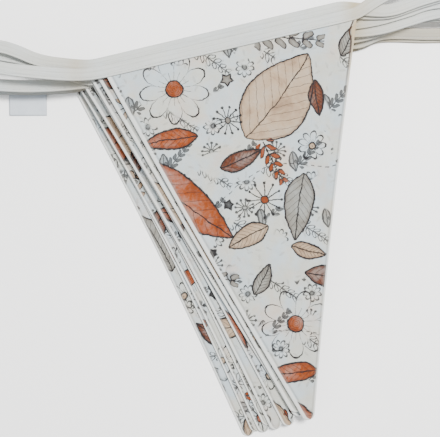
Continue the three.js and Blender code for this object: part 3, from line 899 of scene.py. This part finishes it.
def new_group(name, takes, gives):
    """An empty shader group with named inputs (name, kind, default) and outputs (name, kind):
    the recipe for its nodes, and its inputs by name"""
    tree = bpy.data.node_groups.new(name, "ShaderNodeTree")
    for label, kind, default in takes:
        socket = tree.interface.new_socket(name=label, in_out="INPUT", socket_type=f"NodeSocket{kind}")
        if default is not None:
            socket.default_value = default
    for label, kind in gives:
        tree.interface.new_socket(name=label, in_out="OUTPUT", socket_type=f"NodeSocket{kind}")
    r = Recipe(tree)
    return r, r.outputs(r.node("NodeGroupInput"))


# Shader groups


MOTIF_TAKES = (("Cloth", "Vector", None), ("Centre", "Vector", (0.0, 0.0, 0.0)), ("Turn", "Float", 0.0),
               ("Length", "Float", 50.0), ("Breadth", "Float", 20.0))
MOTIF_GIVES = (("Fill", "Float"), ("Line", "Float"), ("Depth", "Float"))


def new_motif(name):
    """An empty motif group: its recipe, its length and breadth, and the place in millimetres
    along and off the motif's own axis"""
    r, source = new_group(name, MOTIF_TAKES, MOTIF_GIVES)
    moved = r.vector("SUBTRACT", source["Cloth"], source["Centre"])
    return r, source["Length"], source["Breadth"], *r.split(r.turned(moved, source["Turn"]))


def leaf_group():
    """A pointed leaf with an inked outline, a midrib and slanting veins"""
    r, length, breadth, x, y = new_motif("Leaf motif")
    along = x / (length * 0.5)
    belly = r.math("SUBTRACT", 1.0, r.math("POWER", abs(along), 2.3), clamp=True)
    reach = breadth * 0.5 * belly * (along * -0.28 + 1.0)
    off = abs(y - belly * (breadth * 0.06))
    depth = reach - off
    fill = r.fade(depth, -0.12, 0.22)
    inside = belly > 0.002
    outline = r.near(abs(depth - 0.1), 0.46, 0.9) * inside
    rib = r.near(off, 0.28, 0.62) * fill
    vein = r.folded(x + off * -1.15, length * 0.055)
    veins = r.near(vein, 0.16, 0.46) * r.fade(depth, 0.8, 1.8)
    return r.give(Fill=fill * inside, Line=r.largest(outline, rib, veins * 0.7), Depth=depth)


def bloom_group():
    """A drawn daisy: pointed petals in outline round a small filled heart"""
    r, length, _, x, y = new_motif("Bloom motif")
    radius = length * 0.5
    far = r.distance(x, y)
    angle = r.math("ARCTAN2", y, x)
    petal = r.math("POWER", abs(r.cos(angle * 4.5)), 0.6)
    depth = radius * (petal * 0.5 + 0.5) - far
    heart = radius * 0.24 - far
    outline = r.near(abs(depth), 0.46, 0.88)
    ring = r.near(abs(heart), 0.4, 0.75)
    spokes = abs(r.sin(angle * 9.0)) * far
    short = r.near(far, 0.0, radius * 0.62) * r.near(heart, -0.6, -0.2)
    rays = r.near(spokes, 0.8, 1.8) * (short > 0.12)
    seeds = r.fade(heart, 0.3, 0.8) * (r.sin(far * 4.5) > 0.55)
    lines = r.largest(outline, ring, rays, seeds * 0.6)
    return r.give(Fill=r.fade(heart, -0.1, 0.25), Line=lines, Depth=depth)


def star_group():
    """A plain five-pointed star with an inked outline"""
    r, length, _, x, y = new_motif("Star motif")
    sector = r.folded(r.math("ARCTAN2", y, x), math.pi / 5)
    lean = r.cos(sector) * 0.588 + r.sin(sector) * 0.809
    depth = length * 0.25 - r.distance(x, y) * lean
    return r.give(Fill=r.fade(depth, -0.1, 0.25), Line=r.near(abs(depth), 0.38, 0.7), Depth=depth)


def sprig_group():
    """A drawn stem with pairs of slanting leaves, in outline"""
    r, length, breadth, x, y = new_motif("Sprig motif")
    off = abs(y)
    along = x / (length * 0.5)
    on_stem = abs(along) < 1.0
    pitch = length * 0.1
    cell = r.folded(x - off * 0.85, pitch)
    share = r.math("DIVIDE", off, breadth * (0.5 - along * 0.2), clamp=True)
    depth = r.sin(share * math.pi) * (pitch * 0.66) - cell
    present = on_stem * (share < 0.995)
    outline = r.near(abs(depth), 0.32, 0.66) * present
    stem = r.near(off, 0.28, 0.6) * on_stem
    return r.give(Fill=r.fade(depth, 0.0, 0.3) * present, Line=r.largest(outline, stem), Depth=depth)


def seed_head_group():
    """A drawn seed head: fine rays from a small ring, each with a dot at its end"""
    r, length, _, x, y = new_motif("Seed head motif")
    radius = length * 0.5
    far = r.distance(x, y)
    sector = r.folded(r.math("ARCTAN2", y, x), math.pi / 12)
    aside = r.sin(sector) * far
    outward = r.cos(sector) * far
    share = far / radius
    rays = r.near(aside, 0.26, 0.56) * ((share > 0.24) * (share < 0.9))
    dots = r.near(r.distance(outward - radius * 0.93, aside), 0.85, 1.2)
    ring = r.near(abs(far - radius * 0.2), 0.3, 0.62)
    return r.give(Fill=r.near(share, 0.18, 0.21), Line=r.largest(rays, dots, ring), Depth=radius * 0.2 - far)


def wash_group():
    """Watercolour: a colour that pools at a shape's rim and thins out in clouds inside it"""
    r, source = new_group(
        "Watercolour wash", (("Cloth", "Vector", None), ("Colour", "Color", None), ("Paper", "Color", None),
                             ("Depth", "Float", 0.0)), (("Colour", "Color"),))
    cloud = r.noise(source["Cloth"], 0.06, 4.0, 0.6, 0.4)
    fine = r.noise(source["Cloth"], 0.45, 3.0, 0.6)
    thin = r.math("ADD", r.fade(cloud, 0.42, 0.72) * 0.24, (fine - 0.45) * 0.30, clamp=True)
    pale = r.mix(thin, source["Colour"], source["Paper"])
    deep = r.mix(1.0, source["Colour"], POOLED, "MULTIPLY")
    pool = r.fade(source["Depth"], 0.0, 3.4, 0.62, 0.0)
    shade = r.fade(cloud, 0.26, 0.50, 0.62, 0.0)
    return r.give(Colour=r.mix(r.largest(pool, shade), pale, deep))


def weave_group():
    """Plain weave: over and under threads, with slubs, as a height"""
    r, source = new_group(
        "Cloth weave", (("Place", "Vector", None), ("Threads", "Float", 2.2), ("Slub", "Float", 0.3)),
        (("Height", "Float"),))
    x, y = r.split(source["Place"])
    scale = source["Threads"] * math.pi
    bend = (r.noise(source["Place"], 0.35, 2.0) - 0.5) * 1.4
    over = r.sin((x + bend) * scale) * r.sin((y + bend) * scale) * 0.5
    slubs = r.noise(source["Place"], 1.1, 2.0) * source["Slub"]
    return r.give(Height=over + 0.5 + slubs)


GROUP_MAKERS = {
    "Leaf motif": leaf_group, "Bloom motif": bloom_group, "Star motif": star_group, "Sprig motif": sprig_group,
    "Seed head motif": seed_head_group, "Watercolour wash": wash_group, "Cloth weave": weave_group,
}


def shared(name):
    """A shader group that more than one material or motif uses, built at its first use"""
    return bpy.data.node_groups.get(name) or GROUP_MAKERS[name]()


# Materials


# Colours of pooled paint and uneven tone on the cloth and the floor, of the rims' painted
# highlight, and of painted shade in the seams and on the tape
POOLED = (0.42, 0.33, 0.30)
GROUND_LIGHT = (0.45, 0.48, 0.48)
RIM_PLAIN_AND_HIGHLIGHT, RIM_TAN = (0.57, 0.58, 0.56), (0.36, 0.28, 0.17)
SEAM_SHADE_GREY, SEAM_SHADE_BROWN = (0.15, 0.145, 0.135), (0.028, 0.012, 0.005)
TAPE_COOL, TAPE_DULL = (0.43, 0.475, 0.50), (0.36, 0.34, 0.30)
TAPE_STREAK, TAPE_GROOVE_SHADE = (0.31, 0.325, 0.32), (0.27, 0.275, 0.26)
TAPE_WARM_SHADE = (0.33, 0.27, 0.165)
EDGE_SHADE_GREY, EDGE_SHADE_CREAM = (0.24, 0.245, 0.235), (0.17, 0.13, 0.08)
THREAD_WHITE, THREAD_GREY = (0.47, 0.48, 0.46), (0.36, 0.37, 0.37)
LABEL_SHADE, LABEL_EDGE = (0.40, 0.44, 0.50), (0.28, 0.31, 0.35)
FLOOR_SHADE = (0.85, 0.85, 0.85)

# The print's repeat, in millimetres: its width and height, the share of the width by which each
# row is shifted, and each motif's kind, colour, centre, turn in degrees, length and breadth
REPEAT = {"width": 150.0, "height": 172.0, "shift": 0.43}
MOTIFS = table(
    "kind colour x y turn length breadth",
    ("Leaf", "rust", -33, 40, 38, 92, 33),
    ("Leaf", "parchment", 36, -34, -52, 76, 46),
    ("Leaf", "slate", 52, 46, 98, 50, 21),
    ("Bloom", "rust", -38, -40, 10, 50, 50),
    ("Leaf", "umber", 9, 11, -24, 33, 13),
    ("Leaf", "parchment", 14, 68, 152, 34, 15),
    ("Leaf", "umber", -10, -75, 8, 42, 15),
    ("Leaf", "rust", -42, -3, 172, 42, 14),
    ("Bloom", "parchment", 61, 2, 0, 20, 20),
    ("Sprig", "slate", 46, -75, 6, 50, 16),
    ("Sprig", "parchment", -50, 75, -12, 42, 14),
    ("Sprig", "rust", 33, 14, 64, 34, 12),
    ("Seed head", "rust", 26, 41, 0, 27, 27),
    ("Seed head", "slate", 0, -17, 9, 21, 21),
    ("Star", "slate", 0, -46, 14, 11, 11),
    ("Star", "rust", -66, 14, 40, 13, 13),
    ("Star", "ink", 0, 44, -8, 9, 9),
    ("Star", "ink", -12, 79, 22, 7, 7),
    ("Leaf", "slate", -62, -73, -62, 26, 11),
    ("Leaf", "umber", 65, -32, 82, 26, 10),
    ("Leaf", "parchment", 58, 78, 14, 27, 11),
)

# A second, smaller repeat of drawn motifs that shows in clusters, and how much of each is inked in
FINE_REPEAT = {"width": 47.0, "height": 41.0, "shift": 0.5}
FINE_MOTIFS = table(
    "kind inked x y turn length breadth",
    ("Sprig", 0.0, -9, 7, 35, 27, 9),
    ("Sprig", 0.9, 12, -9, -48, 24, 7),
    ("Bloom", 0.8, 13, 11, 12, 13, 13),
    ("Seed head", 0.5, -12, -11, 5, 14, 14),
    ("Leaf", 0.55, 1, -3, 80, 15, 6),
)


def new_material(name):
    """A material, and the recipe for its nodes"""
    material = bpy.data.materials.new(name)
    material.use_nodes = True
    return material, Recipe(material.node_tree)


def cloth_surface(r, colour, roughness, height, bump, distance, sheen):
    """The shader: a soft sheen over a rough surface with a fine relief"""
    relief = r.value("ShaderNodeBump", ("Strength", bump), ("Distance", distance), ("Height", height))
    shader = r.value("ShaderNodeBsdfPrincipled", ("Base Color", colour), ("Roughness", roughness),
                     ("Sheen Weight", sheen), ("Sheen Roughness", 0.5), ("Specular IOR Level", 0.25),
                     ("Normal", relief))
    r.node("ShaderNodeOutputMaterial", ("Surface", shader))


def hand_waver(r, place, reach, *noise):
    """How far a drawing hand strays from its place, up to half the reach each way"""
    stray = r.vector("SUBTRACT", r.noise(place, *noise, output="Color"), (0.5, 0.5, 0.5))
    return r.vector("MULTIPLY", stray, (reach, reach, 0.0))


def place_in_repeat(r, drawn, repeat):
    """The place within one repeat of the print, measured from its middle"""
    x, y = r.split(drawn)
    row = r.math("FLOOR", y / repeat["height"])
    half = repeat["width"] / 2
    shifted = x + row * (repeat["width"] * repeat["shift"])
    return r.join(r.math("WRAP", shifted, -half, half), y - row * repeat["height"] - repeat["height"] / 2)


def drawn_motif(r, motif, tile):
    """One row of a table of motifs, as its fill, its lines and the depth inside it"""
    return r.group(motif["kind"] + " motif", Cloth=tile, Centre=(motif["x"], motif["y"], 0.0),
                   Turn=math.radians(-motif["turn"]), Length=motif["length"], Breadth=motif["breadth"])


def printed_cotton():
    """Pale cotton with a loose botanical print: leaves, daisies, stars, sprigs and seed heads, over
    clusters of small ink motifs, dashes, wandering lines and soft washes"""
    paints = bpy.context.scene.bunting_colours
    material, r = new_material("printed_cotton")
    place = r.vector("MULTIPLY", r.value("ShaderNodeUVMap", uv_map="print"), (PRINT_UNIT, PRINT_UNIT, 0.0))
    drawn = r.vector("ADD", place, hand_waver(r, place, 3.0, 0.12, 3.0, 0.6))
    drawn = r.vector("ADD", drawn, hand_waver(r, place, 0.55, 0.8, 2.0, 0.5))
    tile = place_in_repeat(r, drawn, REPEAT)
    ground = ground_colour(r, place, paints)
    colour = scattered_dashes(r, drawn, ground, paints)
    colour = drifting_lines(r, drawn, colour, paints)
    colour = r.mix(fine_clusters(r, place, drawn), colour, paints.ink)
    lines = 0.0
    for motif in MOTIFS:
        parts = drawn_motif(r, motif, tile)
        paint = (*getattr(paints, motif["colour"]), 1.0)
        wash = r.group("Watercolour wash", Cloth=place, Colour=paint, Paper=ground, Depth=parts["Depth"])
        colour = r.mix(parts["Fill"], colour, wash["Colour"])
        lines = r.largest(lines, parts["Line"])
    faded = r.noise(place, 0.5, 3.0, 0.7)
    colour = r.mix(lines * r.fade(faded, 0.3, 0.55, 0.78, 1.0), colour, paints.ink)
    colour = sewn_edge(r, colour, ground)
    height = r.group("Cloth weave", Place=place, Threads=2.3, Slub=0.35)["Height"]
    cloth_surface(r, colour, r.fade(faded, 0.2, 0.8, 0.80, 0.92), height, 0.35, 0.12 * MM, 0.06)
    return material


def ground_colour(r, place, paints):
    """The cotton's pale ground with drifting blue-grey and sandy washes"""
    broad = r.noise(place, 0.026, 4.0, 0.6, 0.5)
    other = r.noise(r.vector("ADD", place, (310.0, 90.0, 0.0)), 0.034, 4.0, 0.6, 0.3)
    mottle = r.noise(place, 0.16, 4.0, 0.65)
    colour = r.mix(r.fade(broad, 0.40, 0.60, 0.0, 0.85), paints.ground, paints.mist)
    colour = r.mix(r.fade(other, 0.48, 0.70, 0.0, 0.7), colour, paints.sand)
    return r.mix(r.fade(mottle, 0.35, 0.7, 0.0, 0.22), colour, GROUND_LIGHT)


def scattered_dashes(r, drawn, colour, paints):
    """Faint short brush dashes, scattered over the ground, each its own way round"""
    spaced = r.vector("MULTIPLY", drawn, (0.115, 0.115, 0.0))
    cells = r.outputs(r.node("ShaderNodeTexVoronoi", ("Vector", spaced), ("Scale", 1.0), ("Randomness", 0.85),
                             voronoi_dimensions="2D", feature="F1"))
    pick, twist = r.split(cells["Color"])
    from_middle = r.vector("SUBTRACT", spaced, cells["Position"])
    x, y = r.split(r.vector("MULTIPLY", r.turned(from_middle, twist * math.pi), (3.4, 10.0, 0.0)))
    spot = r.near(r.distance(x, y), 0.75, 1.1) * (pick > 0.3)
    grain = r.noise(drawn, 0.9, 3.0, 0.7)
    return r.mix(spot * r.fade(grain, 0.35, 0.65, 0.12, 0.42), colour, paints.slate)


def drifting_lines(r, drawn, colour, paints):
    """Long wandering dashed lines, like running stitches drawn in ink"""
    x, y = r.split(drawn)
    wave = r.sin(x * 0.055) * 9.0
    band = r.folded(y + wave + x * 0.35, 61.0)
    dash = r.sin(x * 1.25) > -0.15
    return r.mix(r.near(band, 0.25, 0.55) * dash * 0.85, colour, paints.ink)


def fine_clusters(r, place, drawn):
    """Ink share of the small drawn motifs, where their clusters show"""
    tile = place_in_repeat(r, drawn, FINE_REPEAT)
    ink = 0.0
    for motif in FINE_MOTIFS:
        parts = drawn_motif(r, motif, tile)
        ink = r.largest(ink, parts["Line"], parts["Fill"] * motif["inked"])
    where = r.noise(r.vector("ADD", place, (-150.0, 220.0, 0.0)), 0.021, 2.0, 0.5)
    return ink * 0.9 * r.fade(where, 0.48, 0.50)


def sewn_edge(r, colour, ground):
    """The rolled rim, where the print turns under and a highlight is painted on, and the soft painted shade line in
    its seam's groove
    """
    tan = r.mark("tan_share")
    # Painted highlight: the rim is lighter than the ground, partly as the plain turned cloth and partly as painted
    # light on the rolled edge
    plain = r.mix(tan, r.mix(0.75, ground, RIM_PLAIN_AND_HIGHLIGHT), RIM_TAN)
    colour = r.mix(r.fade(r.mark("rim_share"), 0.72, 1.0, 0.92, 0.0), colour, plain)
    # Painted shade: a soft dark line in the seam's groove, stronger and browner along the top pennant's right rim
    # by the tape
    seam = r.near(abs(r.mark("seam_off") - 0.45), 0.45, 0.8)
    dark = r.mix(tan, SEAM_SHADE_GREY, SEAM_SHADE_BROWN)
    return r.mix(seam * r.fade(tan, 0.0, 1.0, 0.34, 0.95), colour, dark)


def binding_cotton():
    """White cotton binding with a fine slanting weave, streaked along its length, with painted shade along its
    pressed line and long edges and painted warm shade where it comes out of the stack
    """
    material, r = new_material("binding_cotton")
    place = r.place(1 / MM)
    tone = r.noise(place, 0.05, 3.0, 0.6)
    fine = r.noise(place, 0.7, 3.0, 0.6)
    colour = r.mix(r.fade(tone, 0.35, 0.7, 0.0, 0.6), bpy.context.scene.bunting_colours.binding, TAPE_COOL)
    colour = r.mix(r.fade(fine, 0.4, 0.75, 0.0, 0.18), colour, TAPE_DULL)
    across = r.mark("across_tape")
    streaks = r.noise(r.join(r.mark("along_tape") * 0.035, across * 1.1), 1.0, 3.0, 0.6)
    colour = r.mix(r.fade(streaks, 0.42, 0.70, 0.0, 0.42), colour, TAPE_STREAK)
    # Painted shade: a darker line along the tape's pressed fold, standing in for its groove
    colour = r.mix(r.fade(abs(across - 0.9), 0.0, 0.45, 0.35, 0.0), colour, TAPE_GROOVE_SHADE)
    # Painted warm shade where the tape comes out of the stack and on its low stretches
    shade_share = r.mark("warmth")
    colour = r.mix(shade_share * 0.9, colour, TAPE_WARM_SHADE)
    # Painted shade along the tape's long edges, warmer where the stack's warm shade is painted
    rim = r.fade(r.mark("edge_share"), 0.1, 0.9, 0.0, 0.75)
    colour = r.mix(rim, colour, r.mix(shade_share, EDGE_SHADE_GREY, EDGE_SHADE_CREAM))
    slanted = r.turned(place, math.radians(45))
    height = r.group("Cloth weave", Place=slanted, Threads=2.4, Slub=0.4)["Height"]
    cloth_surface(r, colour, r.fade(fine, 0.2, 0.8, 0.78, 0.9), height, 0.4, 0.12 * MM, 0.08)
    return material


def sewing_thread():
    """White polyester thread with a little shine and a twist"""
    material, r = new_material("sewing_thread")
    place = r.place(1 / MM)
    tone = r.noise(place, 0.6, 2.0)
    colour = r.mix(r.fade(tone, 0.3, 0.7), THREAD_WHITE, THREAD_GREY)
    twist = r.value("ShaderNodeTexWave", ("Vector", place), ("Scale", 1.6), output="Fac",
                    wave_type="BANDS", bands_direction="DIAGONAL")
    cloth_surface(r, colour, r.fade(tone, 0.2, 0.8, 0.45, 0.6), twist, 0.3, 0.08 * MM, 0.05)
    return material


def label_ribbon():
    """Close-woven white ribbon, a little darker at its edges"""
    material, r = new_material("label_ribbon")
    place = r.place(1 / MM)
    tone = r.noise(place, 0.11, 3.0, 0.6)
    colour = r.mix(r.fade(tone, 0.35, 0.7, 0.0, 0.6), bpy.context.scene.bunting_colours.label, LABEL_SHADE)
    colour = r.mix(r.fade(r.mark("edge_share"), 0.25, 0.85, 0.0, 0.5), colour, LABEL_EDGE)
    height = r.group("Cloth weave", Place=place, Threads=3.6, Slub=0.15)["Height"]
    cloth_surface(r, colour, r.fade(tone, 0.2, 0.8, 0.5, 0.62), height, 0.25, 0.08 * MM, 0.1)
    return material


def pale_floor():
    """Matte white paper-like surface"""
    material, r = new_material("pale_floor")
    grain = r.noise(r.place(1.0), 60.0, 3.0, 0.6)
    colour = r.mix(r.fade(grain, 0.3, 0.7, 0.0, 0.03), bpy.context.scene.bunting_colours.floor, FLOOR_SHADE)
    cloth_surface(r, colour, 0.95, grain, 0.02, 0.1 * MM, 0.0)
    return material


# Stage


# Half the floor's side, how far it lies below the part, and the height at which the view's width holds
FLOOR_HALF = 3.0
FLOOR_GAP = 0.1 * MM
VIEW_LEVEL = 27 * MM
SKY_TINT = (0.97, 0.985, 1.0, 1.0)


def soft_light(name, place, size, power, tint):
    """A square soft light that looks at the middle of the stack"""
    lamp = bpy.data.lights.new(name, "AREA")
    lamp.shape = "SQUARE"
    lamp.size = size
    lamp.energy = power
    lamp.color = tint
    holder = add_object(name, lamp)
    holder.location = place
    holder.rotation_euler = (-Vector(place)).to_track_quat("-Z", "Y").to_euler()


def set_stage():
    """Pale floor, soft light and a camera straight above"""
    stage = bpy.context.scene.bunting_stage
    corners = [(x * FLOOR_HALF, y * FLOOR_HALF, 0) for x, y in ((-1, -1), (1, -1), (1, 1), (-1, 1))]
    floor = new_piece("floor", corners, [(0, 1, 2, 3)], pale_floor(), smooth=False)
    floor.location.z = -FLOOR_GAP
    soft_light("key_light", (0.42, 0.40, 1.38), 0.34, stage.key, (1.0, 0.985, 0.96))
    soft_light("fill_light", (-0.8, -0.3, 0.9), 0.9, stage.fill, (0.94, 0.97, 1.0))
    world = bpy.data.worlds.new("even_light")
    world.use_nodes = True
    sky = world.node_tree.nodes["Background"]
    sky.inputs["Color"].default_value = SKY_TINT
    sky.inputs["Strength"].default_value = stage.sky
    bpy.context.scene.world = world
    lens = bpy.data.cameras.new("camera")
    lens.sensor_width = stage.sensor
    lens.lens = stage.sensor * (stage.camera_height - VIEW_LEVEL) / stage.view_width
    lens.clip_start = 0.01
    camera = add_object("camera", lens)
    camera.location = (0, 0, stage.camera_height)
    bpy.context.scene.camera = camera


# Operators


class BUNTING_OT_pennants(bpy.types.Operator):
    """Make the nine printed pennants"""

    bl_idname = "bunting.pennants"
    bl_label = "Pennants"

    def execute(self, context):
        material = printed_cotton()
        for level in range(len(PENNANTS)):
            make_pennant(level, material)
        return {"FINISHED"}


class BUNTING_OT_tape(bpy.types.Operator):
    """Make the folded binding tape"""

    bl_idname = "bunting.tape"
    bl_label = "Binding tape"

    def execute(self, context):
        make_tape(binding_cotton())
        return {"FINISHED"}


class BUNTING_OT_stitching(bpy.types.Operator):
    """Sew the stitches along the tape"""

    bl_idname = "bunting.stitching"
    bl_label = "Stitching"

    def execute(self, context):
        make_stitching(sewing_thread())
        return {"FINISHED"}


class BUNTING_OT_label(bpy.types.Operator):
    """Make the plain tab label"""

    bl_idname = "bunting.label"
    bl_label = "Tab label"

    def execute(self, context):
        make_label(label_ribbon())
        return {"FINISHED"}


class BUNTING_OT_stage(bpy.types.Operator):
    """Set up the floor, the soft light and the camera"""

    bl_idname = "bunting.stage"
    bl_label = "Stage"

    def execute(self, context):
        set_stage()
        return {"FINISHED"}


OPERATORS = (BUNTING_OT_pennants, BUNTING_OT_tape, BUNTING_OT_stitching, BUNTING_OT_label, BUNTING_OT_stage)
GROUPS = {"bunting_pennant": PennantSizes, "bunting_tape": TapeSizes,
          "bunting_colours": BuntingColours, "bunting_stage": StageSettings}


class BUNTING_PT_panel(bpy.types.Panel):
    """The bunting's pieces and their sizes"""

    bl_label = "Bunting"
    bl_idname = "BUNTING_PT_panel"
    bl_space_type = "VIEW_3D"
    bl_region_type = "UI"
    bl_category = "Bunting"

    def draw(self, context):
        for operator in OPERATORS:
            self.layout.operator(operator.bl_idname)
        for name in GROUPS:
            group = getattr(context.scene, name)
            box = self.layout.box()
            for key in group.__annotations__:
                box.prop(group, key)


def register():
    for cls in (*GROUPS.values(), *OPERATORS, BUNTING_PT_panel):
        bpy.utils.register_class(cls)
    for name, cls in GROUPS.items():
        setattr(bpy.types.Scene, name, bpy.props.PointerProperty(type=cls))


def unregister():
    for name in GROUPS:
        delattr(bpy.types.Scene, name)
    for cls in (BUNTING_PT_panel, *reversed(OPERATORS), *GROUPS.values()):
        bpy.utils.unregister_class(cls)


def main():
    register()
    bpy.ops.bunting.stage()
    bpy.ops.bunting.pennants()
    bpy.ops.bunting.tape()
    bpy.ops.bunting.stitching()
    bpy.ops.bunting.label()


if __name__ == "__main__":
    main()
